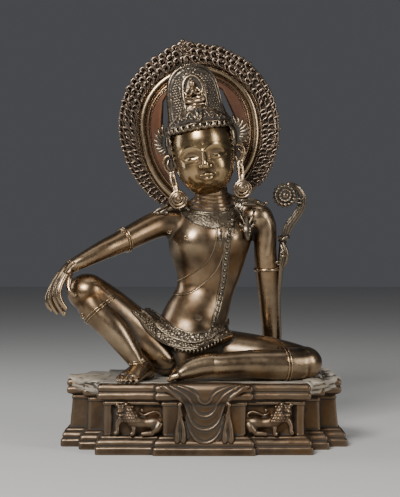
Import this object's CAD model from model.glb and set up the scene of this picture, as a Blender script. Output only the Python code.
# %% [markdown]
# A bronze bodhisattva at ease
#
# The object is a hollow cast bronze: a seated figure, a halo that was cast on its own, and a stepped
# plinth. The frame holds those three as plain solids at their real size. This script dresses each of them
# with the fine surface of the casting: soft limbs, carved cloth, jewellery, flames, lions, and a worn dark
# patina.

# %% Load the frame
import math

import bmesh
import bpy
import numpy as np
from mathutils import Matrix, Vector, noise
from mathutils.bvhtree import BVHTree


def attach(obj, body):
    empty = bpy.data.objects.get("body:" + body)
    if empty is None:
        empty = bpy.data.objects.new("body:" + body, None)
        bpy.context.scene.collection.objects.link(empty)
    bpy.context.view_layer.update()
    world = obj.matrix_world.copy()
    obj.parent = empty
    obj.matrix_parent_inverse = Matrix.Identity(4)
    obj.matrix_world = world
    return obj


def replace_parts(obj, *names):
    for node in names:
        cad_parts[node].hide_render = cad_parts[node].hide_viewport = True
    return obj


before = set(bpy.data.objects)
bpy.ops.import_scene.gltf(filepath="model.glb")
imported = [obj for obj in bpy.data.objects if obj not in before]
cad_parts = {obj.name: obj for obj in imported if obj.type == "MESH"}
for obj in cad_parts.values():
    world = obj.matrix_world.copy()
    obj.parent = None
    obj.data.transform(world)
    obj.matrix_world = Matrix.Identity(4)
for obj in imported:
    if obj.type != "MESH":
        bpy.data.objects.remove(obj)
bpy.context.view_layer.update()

print("solids in the frame:", sorted(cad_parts))

# %% [markdown]
# Camera
#
# The photograph was taken from straight in front, level, about two metres away and 300 mm above the table.
# Its middle lies a little below and to the left of the lens axis, so the camera is turned to that point.

# %% Camera
MM = 0.001                       # the script works in millimetres, the frame in metres
FRAME_WIDTH, FRAME_HEIGHT = 400, 497
FOCAL_PIXELS = 1398.6            # focal length counted in the photograph's pixels
AXIS_PIXEL = (204.0, 234.4)      # where the lens axis meets the photograph
EYE = Vector((0, -2000, 300)) * MM

camera_data = bpy.data.cameras.new("camera")
camera_data.sensor_width = 36
camera_data.lens = camera_data.sensor_width * FOCAL_PIXELS / FRAME_HEIGHT
camera_data.clip_start = 0.05
camera = bpy.data.objects.new("camera", camera_data)
bpy.context.scene.collection.objects.link(camera)
camera.location = EYE
aim = Vector((
    (FRAME_WIDTH / 2 - AXIS_PIXEL[0]) / FOCAL_PIXELS,
    1,
    (AXIS_PIXEL[1] - FRAME_HEIGHT / 2) / FOCAL_PIXELS,
))
camera.rotation_euler = aim.to_track_quat("-Z", "Y").to_euler()
bpy.context.scene.camera = camera
print("lens:", round(camera_data.lens, 1), "mm")

# %% [markdown]
# Forms
#
# A casting like this was modelled in wax from rolls and balls, pressed together and smoothed. The forms
# could be joined by booleans, but those leave hard seams. So a limb is a cylinder cut into rows and bent
# along a curve, balls fill the joints, and a voxel remesh with a little smoothing makes one soft skin of
# them all.

# %% Rows along a smooth curve
def rows_along(stations, count):
    """A Catmull-Rom curve through the stations, as count + 1 even rows."""
    given = np.array(stations, float)
    points = np.vstack([2 * given[0] - given[1], given, 2 * given[-1] - given[-2]])
    at = np.linspace(0, len(given) - 1, count + 1)
    first = np.minimum(at.astype(int), len(given) - 2)
    t = (at - first)[:, None]
    a, b, c, d = (points[first + k] for k in range(4))
    return b + 0.5 * t * (c - a + t * (2 * a - 5 * b + 4 * c - d + t * (3 * (b - c) + d - a)))


# %% Limbs and balls
def unit(vectors):
    return vectors / np.maximum(np.linalg.norm(vectors, axis=-1, keepdims=True), 1e-9)


def tube(bm, centres, wide, deep, side, around):
    """A closed tube along rows of centres, wide along the side vectors and deep across them."""
    tangents = unit(np.gradient(centres, axis=0))
    across = unit(np.cross(tangents, np.broadcast_to(side, tangents.shape)))
    out = np.cross(across, tangents)
    wide, deep = (np.broadcast_to(size, (len(centres), 1)) for size in (wide, deep))
    part = bmesh.new()
    bmesh.ops.create_cone(part, cap_ends=True, segments=around, radius1=1, radius2=1, depth=1)
    uprights = [e for e in part.edges if abs(e.verts[0].co.z - e.verts[1].co.z) > 0.5]
    bmesh.ops.subdivide_edges(part, edges=uprights, cuts=len(centres) - 2, use_grid_fill=True)
    place = np.array([v.co for v in part.verts])
    row = np.rint((place[:, 2] + 0.5) * (len(centres) - 1)).astype(int)
    at = centres[row] + out[row] * wide[row] * place[:, :1] + across[row] * deep[row] * place[:, 1:2]
    for v, p in zip(part.verts, at):
        v.co = p
    add(bm, part)


def limb(bm, stations, side=(1, 0, 0), around=20, along=0):
    """A tube through stations: x, y, z, half width along side and half depth across it, all in mm."""
    rows = rows_along([s if len(s) == 5 else (*s, s[3]) for s in stations], along or 6 * len(stations))
    tube(bm, rows[:, :3], rows[:, 3:4], rows[:, 4:5], np.array(side, float), around)


def add(bm, part, matrix=None):
    """Puts one bmesh into another and frees it."""
    mesh = bpy.data.meshes.new("part")
    part.to_mesh(mesh)
    part.free()
    if matrix:
        mesh.transform(matrix)
        if matrix.determinant() < 0:
            mesh.flip_normals()
    bm.from_mesh(mesh)
    bpy.data.meshes.remove(mesh)


def ball(bm, centre, radii, around=20, rings=12):
    place = Matrix.Translation(centre) @ Matrix.Diagonal((*radii, 1))
    bmesh.ops.create_uvsphere(bm, u_segments=around, v_segments=rings, radius=1, matrix=place)


MIRROR = Matrix.Scale(-1, 4, (1, 0, 0))


def both_sides(bm, part):
    """Adds a part and its mirror image in X."""
    add(bm, part.copy(), MIRROR)
    add(bm, part)


def sheet(bm, columns, rows, place, relief=None):
    """A grid of faces. place gets each point's share of the way along and across, and gives x, y, z.
    relief gets the same and gives how far the point stands out along the grid's normal."""
    part = bmesh.new()
    bmesh.ops.create_grid(part, x_segments=columns, y_segments=rows, size=1)
    along, across = (np.array([v.co for v in part.verts])[:, :2].T + 1) / 2
    for v, p in zip(part.verts, place(along, across)):
        v.co = p
    if relief:
        part.normal_update()
        for v, height in zip(part.verts, relief(along, across)):
            v.co += v.normal * float(height)
    add(bm, part)


# %% One skin over overlapping forms
def applied(mesh, *modifiers):
    """The mesh that a row of modifiers makes, each given as its type and its settings."""
    holder = bpy.data.objects.new("holder", mesh)
    bpy.context.scene.collection.objects.link(holder)
    for kind, settings in modifiers:
        modifier = holder.modifiers.new(kind, kind)
        for name, value in settings.items():
            setattr(modifier, name, value)
    evaluated = holder.evaluated_get(bpy.context.evaluated_depsgraph_get())
    result = bpy.data.meshes.new_from_object(evaluated)
    bpy.data.objects.remove(holder)
    return result


def to_mesh(bm):
    """A mesh in metres from a bmesh in millimetres."""
    mesh = bpy.data.meshes.new("mesh")
    bm.to_mesh(mesh)
    bm.free()
    mesh.transform(Matrix.Scale(MM, 4))
    return mesh


def fused(bm, voxel, soften):
    """One closed skin over all the forms in a bmesh. The voxel is in mm, soften counts smoothing rounds."""
    return applied(
        to_mesh(bm),
        ("REMESH", {"mode": "VOXEL", "voxel_size": voxel * MM}),
        ("SMOOTH", {"factor": 0.5, "iterations": soften}),
    )


# %% [markdown]
# Carving in code
#
# A chaser works a cast bronze with punches. A Displace modifier could do the same from a texture, but here
# each groove has its own path, so the skin's own points are moved in or out in code. The same class reads
# how far each point stands out from its smoothed surroundings, and keeps that as an attribute. The patina
# reads it later: high places are rubbed bright, and hollows keep their dust.

# %% Carving
class Skin:
    """The points of a fine mesh in millimetres, ready to be pushed in and out."""

    def __init__(self, mesh):
        self.mesh = mesh
        self.co = self.read(mesh.vertices, "co") / MM
        edges = np.empty(2 * len(mesh.edges), np.int32)
        mesh.edges.foreach_get("vertices", edges)
        self.edges = edges.reshape(-1, 2)
        self.links = np.maximum(np.bincount(edges, minlength=len(self.co)), 1)[:, None]

    @staticmethod
    def read(collection, name):
        values = np.empty(3 * len(collection))
        collection.foreach_get(name, values)
        return values.reshape(-1, 3)

    def normals(self):
        return self.read(self.mesh.vertex_normals, "vector")

    def write(self):
        self.mesh.vertices.foreach_set("co", (self.co * MM).ravel())
        self.mesh.update()

    def push(self, amount):
        """Moves every point along its normal, by an amount in mm."""
        self.co = self.co + self.normals() * amount[:, None]
        self.write()

    def averaged(self, values, rounds):
        """Values at the points, each round replaced by the mean over the linked points."""
        a, b = self.edges.T
        for _ in range(rounds):
            total = np.stack([
                np.bincount(a, column[b], len(values)) + np.bincount(b, column[a], len(values))
                for column in values.T
            ], axis=1)
            values = 0.5 * values + 0.5 * total / self.links
        return values

    def soften(self, share, rounds):
        """Smooths the skin, by a share from 0 to 1 at each point."""
        self.co = self.co + (self.averaged(self.co, rounds) - self.co) * share[:, None]
        self.write()

    def stand_out(self, rounds):
        """How far each point stands out from its surroundings, in mm; hollows are negative."""
        return ((self.co - self.averaged(self.co, rounds)) * self.normals()).sum(1)

    def distance(self, path):
        """Distance in mm from every point to a path of close points, no more than FAR."""
        result = np.full(len(self.co), FAR)
        low, high = path.min(0) - FAR, path.max(0) + FAR
        close = np.flatnonzero(((self.co > low) & (self.co < high)).all(1))
        for part in np.array_split(close, len(close) // 4000 + 1):
            gap = np.linalg.norm(self.co[part][:, None] - path[None], axis=2)
            result[part] = np.minimum(FAR, gap.min(1))
        return result


FAR = 12.0


def bump(distance, reach):
    """1 at no distance, falling smoothly to 0 at the reach."""
    near = np.clip(1 - distance / reach, 0, 1)
    return near * near * (3 - 2 * near)


# %% Relief attribute
def mark_relief(mesh):
    """Keeps how far each point stands out from its surroundings, near by and farther off, for the patina."""
    skin = Skin(mesh)
    edge = np.linalg.norm(skin.co[skin.edges[:, 0]] - skin.co[skin.edges[:, 1]], axis=1).mean()
    for name, width, most, full in (("fine", 2.6, 12, 0.14), ("broad", 6.0, 40, 0.55)):
        rounds = int(np.clip((width / edge) ** 2, 1, most))
        values = np.clip(skin.stand_out(rounds) / full, -1, 1)
        attribute = mesh.attributes.new(name, "FLOAT", "POINT")
        attribute.data.foreach_set("value", values.astype(np.float32))


def piece(name, mesh, material):
    """A finished piece: its object stands at the origin and rides on the one body."""
    mesh.name = name
    mark_relief(mesh)
    mesh.polygons.foreach_set("use_smooth", [True] * len(mesh.polygons))
    mesh.materials.clear()
    mesh.materials.append(material)
    made = bpy.data.objects.new(name, mesh)
    bpy.context.scene.collection.objects.link(made)
    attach(made, "root")
    triangles = sum(len(p.vertices) - 2 for p in mesh.polygons)
    print(f"{name}: {triangles} triangles")
    return made


# %% [markdown]
# The body
#
# Hips, waist and chest are one sway: the hips lean to the figure's right and the chest to its left. The
# right leg is raised, the left one lies folded, the right arm reaches over the knee and the left arm props
# the body from behind. It could be sculpted by brush, but then a limb can't be moved again by a number. So
# each is a limb or two with a ball at the joint, at the same places as in the solid.

# %% Trunk
def add_trunk(bm):
    limb(bm, [
        (-16, 18, 96, 44, 34), (-18, 10, 124, 51, 44), (-17.5, 6, 144, 51, 45), (-17, 7, 163, 50, 43.5),
        (-12.5, 11, 180, 46.5, 38), (-5, 15, 198, 43, 33.5), (2, 18, 220, 41, 30), (6, 18, 247, 48, 33),
        (7, 16, 282, 58, 37), (9, 17, 308, 60, 35), (12, 20, 329, 48, 27), (13, 20, 345, 27, 23),
    ], around=88, along=90)
    limb(bm, [
        (12, 18, 328, 36, 28), (12, 17, 338, 29, 26), (11.5, 15.5, 348, 25.6, 25), (9.5, 12, 364, 24, 23.5),
        (7, 9, 382, 23.5, 23),
    ], around=56)
    for x, y, z in ((-42, 13, 317), (76, 17, 325)):
        ball(bm, (x, y, z), (24, 20, 20), 40, 24)
    for stations in (
        [(4, 24, 352, 12), (-18, 22, 336, 14), (-44, 16, 322, 15)],
        [(20, 26, 354, 12), (44, 24, 342, 14), (74, 20, 330, 15)],
    ):
        limb(bm, stations)
    for x in (-27, -14, -1):
        ball(bm, (x, 29, 122), (32, 30, 33), 32, 20)


# %% Arms
def add_arms(bm):
    limb(bm, [
        (-38, 12, 318, 20), (-67, 4, 314, 19.5), (-106, -20, 295, 16.8), (-124, -31, 286, 15.4),
        (-141, -42, 278, 14), (-168, -56, 264, 11.2), (-181, -61, 257.5, 9.6, 9), (-187, -64.5, 252, 8, 7),
    ], side=(0, 1, 0), around=48)
    limb(bm, [
        (78, 16, 330, 15), (88, 18, 314, 16), (88.6, 24, 277, 16.4), (91, 30, 244, 16.2),
        (95, 41, 186, 13.6), (97.5, 50, 140, 11), (98, 54, 108, 9.6),
    ], around=48)


# %% Legs
def add_folded_leg(bm):
    limb(bm, [
        (2, 20, 131, 35), (45, 6, 129, 32), (88, -12, 126, 29), (122, -34, 122, 26), (141, -48, 121, 22),
    ], side=(0, 0, 1), around=56)
    ball(bm, (140, -50, 121), (25, 23.5, 23), 40, 24)
    limb(bm, [
        (136, -54, 120, 22), (108, -63, 119.5, 22), (62, -69, 120.5, 20), (24, -77, 119.5, 16.6, 17.4),
        (6, -80.5, 119.5, 12.6, 16), (-8, -83, 117, 9, 12),
    ], side=(0, 1, 0), around=56)


def add_raised_leg(bm):
    limb(bm, [
        (-26, 14, 131, 30), (-56, -3, 130, 31), (-98, -24, 166, 30), (-134, -38, 198, 28),
        (-159, -45, 219, 25),
    ], side=(0, 1, 0), around=56)
    ball(bm, (-163, -48, 219.5), (28.5, 26, 26), 40, 24)
    limb(bm, [
        (-161, -48, 216, 24), (-151, -55, 196, 22), (-124, -60, 168, 20), (-104, -62, 140, 15),
        (-92, -62, 121, 11.5), (-86, -60, 108, 10),
    ], side=(0, 1, 0), around=48)
    limb(bm, [
        (-112, -28, 174, 25), (-86, -28, 150, 23), (-63, -29, 131, 19), (-50, -31, 121, 13),
        (-43, -32, 115.5, 6),
    ], side=(0, 1, 0), around=48)


# %% The wrap's cloth
def add_wrap(bm):
    limb(bm, [
        (-84, -2, 184, 12, 7), (-62, -22, 167, 15, 10), (-30, -32, 150, 17, 11), (4, -32, 150, 17, 11),
        (34, -12, 158, 14, 9),
    ], side=(0, 1, 0), around=40)
    limb(bm, [
        (-66, 26, 176, 8, 6), (-40, 50, 168, 10, 6), (-14, 56, 165, 10, 6), (12, 50, 168, 10, 6),
        (34, 30, 174, 8, 6),
    ], side=(0, 0, 1))


# %% Body skin
BODY_VOXEL = 2.3
SEAT_HEIGHT = 97.3


def cut_below(mesh, height):
    """Lays every point that hangs under a height, in mm, on that height."""
    for v in mesh.vertices:
        v.co.z = max(v.co.z, height * MM)


bm = bmesh.new()
for build in (add_trunk, add_arms, add_folded_leg, add_raised_leg, add_wrap):
    build(bm)
body_mesh = fused(bm, BODY_VOXEL, 5)
cut_below(body_mesh, SEAT_HEIGHT)
body = Skin(body_mesh)
SWELLS = [((-23, -20, 289), 40, 6.5), ((41, -19, 295), 38, 6.5), ((-12, 58, 150), 50, 5)]
for centre, reach, rise in SWELLS:
    body.push(rise * bump(np.linalg.norm(body.co - centre, axis=1), reach))
SOFT_PLACES = [
    ((-10, -25, 186), 60, 30), ((-42, 5, 315), 48, 25), ((72, 10, 320), 40, 20), ((-40, 0, 160), 50, 20),
    ((12, 10, 338), 34, 12), ((6, -15, 250), 60, 8),
]
for centre, reach, rounds in SOFT_PLACES:
    body.soften(bump(np.linalg.norm(body.co - centre, axis=1), reach), rounds)
print("body skin:", len(body_mesh.polygons), "faces")

# %% [markdown]
# Hands and feet
#
# Fingers and toes are too fine for the body's voxels. A finer body would cost a million faces, so hands and
# feet get a finer skin of their own, which starts inside the wrist or ankle, under a bracelet or an anklet.

# %% Fingers and hands
RIGHT_FINGERS = [[
    (-189, -80, 246), (-195, -85, 234), (-198, -88, 224), (-198, -89, 215), (-194, -90, 206),
    (-188.5, -89, 198.5),
], [
    (-193, -76, 247), (-201, -80, 233.5), (-204, -82, 222), (-203.4, -83, 211), (-198, -84, 200),
    (-191.6, -84, 190.5),
], [
    (-198, -70, 247), (-206, -74, 233), (-210, -75, 221), (-211, -76, 210), (-207, -77, 200),
    (-202, -77, 192),
], [
    (-201, -64, 245), (-209, -67, 230), (-214, -68, 219), (-216.4, -69, 211), (-215, -70, 202),
    (-210.6, -70, 196),
]]
RIGHT_THUMB = [
    (-185, -70, 252), (-184.5, -79, 240), (-185.5, -84, 229), (-183, -87, 222), (-176.5, -88, 217),
]


def finger(bm, points, thick):
    """A finger or toe, slimmer towards its rounded tip."""
    taper = np.interp(np.linspace(0, 1, len(points)), (0, 0.6, 1), (1, 0.93, 0.72))
    stations = [(*p, thick * share) for p, share in zip(points, taper)]
    limb(bm, stations, side=(0, 1, 0), around=16, along=5 * len(points))
    ball(bm, points[-1], (thick * taper[-1],) * 3, 14, 10)


bm = bmesh.new()
limb(bm, [
    (-180, -60.5, 258.5, 9.6, 9), (-186, -65, 254, 10.4, 8.6), (-191, -69, 248.5, 11.6, 7.8),
    (-196, -72, 242, 12.6, 6.8), (-200, -74, 235, 12.4, 5.8), (-203, -75.5, 228, 9.5, 4),
], side=(0.5, -0.85, 0.1), around=28)
for points in RIGHT_FINGERS:
    finger(bm, points, 4.1)
finger(bm, RIGHT_THUMB, 4.3)
limb(bm, [
    (98, 50, 112, 9.5, 9), (99, 58, 107, 13, 9), (101, 72, 103, 15, 6), (102, 80, 101, 12, 4),
], around=20)
for i in range(4):
    x, out = 91 + 7 * i, i - 1.5
    finger(bm, [(x, 74, 102.5), (x + out, 82, 102), (x + 1.6 * out, 88, 101), (x + 2 * out, 92, 100)], 3.8)
hand_mesh = fused(bm, 1.0, 4)
print("hands:", len(hand_mesh.polygons), "faces")

# %% Feet
bm = bmesh.new()
limb(bm, [(-92, -62, 128, 10.6), (-85, -58, 115, 12), (-79, -50, 104, 11)], side=(0, 1, 0))
limb(bm, [
    (-75, -41, 106, 9.5, 9), (-81, -53, 111, 12, 13), (-89, -66, 111, 14, 12.5), (-97, -79, 107, 16, 9.4),
    (-103, -89, 103.4, 17, 6),
], side=(1, -0.15, 0), around=28)
for i, (gap, thick) in enumerate(((0, 4.6), (7.8, 3.7), (14.4, 3.4), (20.6, 3.1), (26.2, 2.8))):
    x = -91 - gap
    finger(bm, [
        (x + 2, -84, 105), (x, -90, 104), (x - 0.6, -95 + 0.4 * i, 102.4), (x - 0.8, -98.6 + 0.6 * i, 100.8),
    ], thick)
limb(bm, [
    (22, -77.5, 119.5, 15, 15.6), (8, -80.5, 119.6, 13.4, 16.6), (-5, -83, 118, 12.6, 15.8),
    (-16, -85, 115.4, 12.6, 15), (-26, -87, 112.4, 13, 12.8), (-34, -88.5, 109, 13, 10.4),
    (-41, -89, 105.8, 12.4, 8),
], side=(0, 1, 0), around=28)
for i in range(5):
    y, thick = -79.5 - 4.9 * i, 5.2 if i == 4 else 4.0
    finger(bm, [(-34, y, 108), (-40, y, 106.6), (-44, y, 104.6), (-47 + 0.9 * (4 - i), y, 102.4)], thick)
foot_mesh = fused(bm, 1.0, 2)
cut_below(foot_mesh, SEAT_HEIGHT)
print("feet:", len(foot_mesh.polygons), "faces")

# %% [markdown]
# Lines on a skin
#
# Eyelids, hems, straps and strings of beads all follow the form under them. A Shrinkwrap modifier could lay
# them down, but a search tree gives the skin's normals too, which the straps need. A path is given by a few
# points near the skin, run smooth, and laid on it. Then it is a groove, a strap or a row of beads.

# %% Paths on a skin
def tree_of(mesh):
    """A search tree over a mesh, in mm."""
    bm = bmesh.new()
    bm.from_mesh(mesh)
    bm.transform(Matrix.Scale(1 / MM, 4))
    tree = BVHTree.FromBMesh(bm)
    bm.free()
    return tree


def even(path, spacing):
    """Points at even steps along a path."""
    run = np.concatenate([[0], np.cumsum(np.linalg.norm(np.diff(path, axis=0), axis=1))])
    at = np.linspace(0, run[-1], max(2, round(run[-1] / spacing) + 1))
    return np.stack([np.interp(at, run, column) for column in path.T], axis=1)


def laid(tree, points, spacing=1.0, lift=0.0):
    """A smooth path through points, laid on the nearest skin, and the skin's normals along it."""
    path = even(rows_along(points, 12 * len(points)), spacing)
    found = [tree.find_nearest(Vector(p)) for p in path]
    normals = unit(np.array([f[1] for f in found]))
    for _ in range(4):
        normals[1:-1] = unit(normals[:-2] + 2 * normals[1:-1] + normals[2:])
    return np.array([f[0] for f in found]) + lift * normals, normals


FRONT = -400                     # a y well in front of the whole object


def front_hit(tree, x, z):
    """Where a look from the front first meets the skin, or None."""
    return tree.ray_cast(Vector((x, FRONT, z)), Vector((0, 1, 0)))[0]


def seen(tree, points, spacing=1.0, lift=0.0):
    """A smooth path through x, z points as seen from the front, laid on the skin behind them."""
    onto = [front_hit(tree, x, z) or Vector((x, 0, z)) for x, z in points]
    return laid(tree, onto, spacing, lift)


# %% Straps and beads
def strap(bm, path, normals, wide, deep, around=12):
    """A flat band along a laid path; wide and deep are half sizes, single or from end to end."""
    def size(given):
        share = np.linspace(0, 1, np.size(given))
        return np.interp(np.linspace(0, 1, len(path)), share, np.atleast_1d(given))[:, None]

    tube(bm, path, size(wide), size(deep), np.cross(np.gradient(path, axis=0), normals), around)


def beads(bm, path, radius, spacing):
    for p in even(path, spacing):
        bmesh.ops.create_icosphere(bm, subdivisions=1, radius=radius, matrix=Matrix.Translation(p))


# %% Sheets laid on a skin
def between(curves):
    """A place function for a sheet that runs from the first curve across to the last."""
    fine = 1500
    rows = np.array([rows_along(c, fine) for c in curves])

    def place(along, across):
        column = np.rint(along * fine).astype(int)
        at = across * (len(rows) - 1)
        first = np.minimum(at.astype(int), len(rows) - 2)
        t = (at - first)[:, None]
        return rows[first, column] * (1 - t) + rows[first + 1, column] * t

    return place


def on_skin(tree, place, lift):
    """The same place function laid on a skin, a little above it."""
    def laid_place(along, across):
        found = [tree.find_nearest(Vector(p)) for p in place(along, across)]
        return np.array([f[0] + lift * f[1] for f in found])
    return laid_place


def layer(bm, amount):
    """A sheet made into a closed layer; the amount, in mm, is added on both sides."""
    return applied(to_mesh(bm), ("SOLIDIFY", {"thickness": 2 * amount * MM, "offset": 0}))


def together(*meshes):
    """Several meshes, in metres, as one."""
    bm = bmesh.new()
    for mesh in meshes:
        bm.from_mesh(mesh)
    joint = bpy.data.meshes.new("joint")
    bm.to_mesh(joint)
    bm.free()
    return joint


# %% Scrolls of wire
def scroll(bm, centre, right, up, size, turns=1.4, thick=0.24, around=8, along=20):
    """A flat spiral of wire that starts at its outer end and closes on its middle."""
    share = np.linspace(0, 1, along + 1)
    turn = 2 * math.pi * turns * share
    radius = size * (1 - 0.85 * share)
    right, up = np.array(right, float), np.array(up, float)
    path = np.array(centre, float) + np.outer(radius * np.cos(turn), right)
    path += np.outer(radius * np.sin(turn), up)
    wire = (size * thick * (1 - 0.45 * share))[:, None]
    tube(bm, path, wire, wire, np.cross(right, up), around)


# %% Loops round a limb
def around_limb(tree, centre, axis, reach, count, lift=0.5):
    """A closed loop on a skin where a plane cuts it, found by rays from the middle, and its normals."""
    z = Vector(axis).normalized()
    x = z.orthogonal().normalized()
    y = z.cross(x)
    points = []
    for a in np.linspace(0, 2 * math.pi, count + 1):
        out = math.cos(a) * x + math.sin(a) * y
        hit = tree.ray_cast(Vector(centre), out)
        points.append(hit[0] if hit[0] and hit[3] < reach else Vector(centre) + out * reach)
    normals = unit(np.array(points) - np.array(centre))
    return np.array(points) + lift * normals, normals


# %% Carving on the body
NECK_FOLDS = (361.5, 356.3, 351, 345.6, 340)
CHASED = [  # points seen from the front in x and z, reach, depth
    ([(-10.6, 182.8), (-8.6, 181.8), (-5.6, 182.2)], 3.0, -1.5),
    ([(76, 322), (77.4, 310), (78.5, 292)], 4.6, 0.45),
    ([(92, 318), (95, 304), (94, 290), (91.5, 272)], 4.8, 0.5),
    ([(101.4, 325), (103, 305), (102.6, 276)], 4.6, 0.45),
    ([(-154, 232), (-143, 228), (-133, 218)], 2.2, -0.5),
]
tree = tree_of(body_mesh)
for points, reach, depth in CHASED:
    body.push(depth * bump(body.distance(seen(tree, points, 0.8)[0]), reach))
for height in NECK_FOLDS:
    loop = around_limb(tree, Vector((11.5, 14, height)), (0.05, -0.3, 1), 34, 120, 0)[0]
    body.push(-0.7 * bump(body.distance(loop), 3.0))

# %% [markdown]
# The head
#
# The face is full and calm, with lowered lids. It is built on the plain rule for a head: eyes halfway
# between chin and the top of the skull, the nose's tip halfway from brow to chin, the mouth a third of the
# way below it. Sculpting by brush would be freer, but swells and grooves at named places can be changed one
# by one. All is made upright round the head's own centre, then tilted, so both sides can be mirrored.

# %% Head forms
HEAD_CENTRE, HEAD_TILT = (1, -4, 405), 9.5
HEAD = Matrix.Translation(HEAD_CENTRE) @ Matrix.Rotation(math.radians(-HEAD_TILT), 4, "Y")


def stand(mesh, matrix):
    """Moves a mesh by a matrix that is given in mm."""
    mesh.transform(Matrix.Scale(MM, 4) @ matrix @ Matrix.Scale(1 / MM, 4))
    return mesh


def mirrored(points):
    """Points from the middle outwards, with their mirror images in X put before them."""
    return [(-x, *rest) for x, *rest in points[:0:-1]] + points


bm = bmesh.new()
limb(bm, [
    (0, -13, -45.4, 8, 8), (0, -12, -43, 18.5, 18), (0, -10, -37, 28, 28), (0, -7, -26, 35, 35),
    (0, -3.5, -11, 40, 40.5), (0, -0.5, 10, 42.6, 43.5), (0, 0, 30, 43, 44.5), (0, 0, 50, 37, 39),
    (0, 0, 60, 26, 28),
], around=72, along=90)
limb(bm, [
    (0, -39, 21, 2.8, 3), (0, -41.6, 12, 3, 3.6), (0, -45, 2, 3.8, 4.8), (0, -48, -5, 4.8, 5.2),
    (0, -48.6, -9.6, 5.4, 4.8), (0, -44, -13.4, 5, 3),
], around=28, along=50)
for s in (-1, 1):
    ball(bm, (6.8 * s, -43.2, -9.8), (4, 4.8, 3.9), 20, 14)
UPPER_LIP = [(0, -43, -21.8, 2.2), (2.2, -43.2, -21.2, 2.4), (7, -41.4, -22, 1.9), (12.6, -38, -22.8, 0.6)]
LOWER_LIP = [(0, -42.4, -27.2, 3.1), (6, -41, -26.2, 2.3), (10.6, -38.6, -24.4, 0.6)]
for lip in (UPPER_LIP, LOWER_LIP):
    limb(bm, mirrored(lip), side=(0, 0, 1))
face_mesh = fused(bm, 1.1, 4)
print("face skin:", len(face_mesh.polygons), "faces")

# %% Face carving
face = Skin(face_mesh)
FACE_SWELLS = [  # centre, stretch along each axis, reach, rise
    ((17.5, -41, 7), (1.5, 1, 0.8), 13, -3.6), ((18.5, -38, 3), (1.45, 1, 0.85), 9.4, 3.6),
    ((24, -30, -15), (1, 1, 1), 20, 2.4), ((0, -36, -40), (1.3, 1, 0.8), 13, 3.4),
    ((0, -42, -34), (1.6, 1, 0.5), 7, -1.0), ((10.5, -42, -15.5), (0.6, 1, 1.3), 7, -0.9),
    ((15, -36, -23), (0.7, 1, 1), 6, -0.8),
]
for centre, stretch, reach, rise in FACE_SWELLS:
    for s in (-1, 1) if centre[0] else (1,):
        gap = np.linalg.norm((face.co - [centre[0] * s, *centre[1:]]) / stretch, axis=1)
        face.push(rise * bump(gap, reach))
face.soften(bump(np.linalg.norm((face.co - [0, -38, -4]) / [1.5, 1, 1.6], axis=1), 34) * 0.8, 9)
tree = tree_of(face_mesh)
grooves = [  # points seen from the front in x and z, reach, depth
    (mirrored([(0, -24.3), (6, -23.9), (12.6, -23)]), 1.6, -1.0),
    ([(0, -15.6), (0, -18.6)], 2.2, -0.5),
]
for s in (-1, 1):
    grooves += [
        ([(8 * s, 2), (12.5 * s, -0.4), (18.5 * s, -1.8), (25 * s, -0.6), (30.5 * s, 3.2)], 1.8, -1.1),
        ([(9 * s, 6), (14 * s, 9.6), (20 * s, 10.6), (26.5 * s, 8.6), (32 * s, 5)], 2.8, -0.3),
        ([(3.6 * s, 13.5), (10 * s, 17.6), (19 * s, 19.4), (28 * s, 17), (35.5 * s, 11.4)], 3.4, 0.5),
        ([(6.8 * s, -13.4), (3.6 * s, -14.2)], 1.6, -1.1),
    ]
for points, reach, depth in grooves:
    face.push(depth * bump(face.distance(seen(tree, points, 0.5)[0]), reach))
urna = seen(tree, [(-0.2, 22.5), (0.2, 22.5)], 0.2)[0]
face.push(-1.0 * bump(face.distance(urna), 1.9))
stand(face_mesh, HEAD)


# %% [markdown]
# Ears and earrings
#
# The ears are long, with lobes drawn down by heavy rings of concentric wire, rolled in wax and pressed on.
# Bevelled curves could make the wires, but as tubes in the same bmesh they melt into the ear's skin. One
# ear is made and mirrored.

# %% Ears and earrings
def ring(bm, centre, radius, wire, around=10):
    """A hoop of wire that faces the front."""
    turn = np.linspace(0, 2 * math.pi, 29)
    hoop = radius * np.stack([np.cos(turn), 0 * turn, np.sin(turn)], axis=1)
    tube(bm, np.array(centre, float) + hoop, wire, wire, (0, 1, 0), around)


EARRING = (46.5, -2, -48.5)
ear = bmesh.new()
EAR_RIM = [
    (44, 13), (50, 15.5), (55.5, 13), (58, 7), (57, -1), (53.6, -8), (49.6, -13), (46, -9), (44, -1),
    (43, 7),
]
limb(ear, [(u, 3, w, 2.1) for u, w in EAR_RIM + EAR_RIM[:1]], side=(0, 1, 0), around=12, along=100)
ball(ear, (50, 6, 1), (7.5, 2.6, 14))
limb(ear, [(50.5, 3.4, 9, 1.7), (53.4, 2.6, 3, 1.8), (51.6, 3, -4, 1.6), (48.6, 3.4, -5, 1.4)], around=10)
for side in (-1, 1):
    limb(ear, [
        (49 + 2.4 * side, 2.4, -11, 2.3, 1.8), (48.8 + 2.9 * side, 1, -19, 2.2, 1.8),
        (48 + 3 * side, -0.2, -27, 2.2, 1.8), (47 + 2.2 * side, -1.6, -36, 2.2, 1.8),
    ], around=14)
limb(ear, [(49.6, 2.6, -8, 4.6, 1.8), (48.8, 1.8, -16, 4, 1.6)], around=16)
limb(ear, [(47.8, -0.4, -29, 3.6, 1.6), (46.8, -1.8, -38, 4, 1.8)], around=16)
for radius, wire, up, out in ((12.0, 1.6, 0, 0), (8.2, 1.6, 0.6, 1.4), (4.4, 1.5, 1.2, 2.4)):
    ring(ear, (EARRING[0], EARRING[1] - out, EARRING[2] + up), radius, wire)
ball(ear, (EARRING[0], EARRING[1] - 3, EARRING[2] + 1.2), (2.4, 2.4, 2.4), 12, 8)
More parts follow.
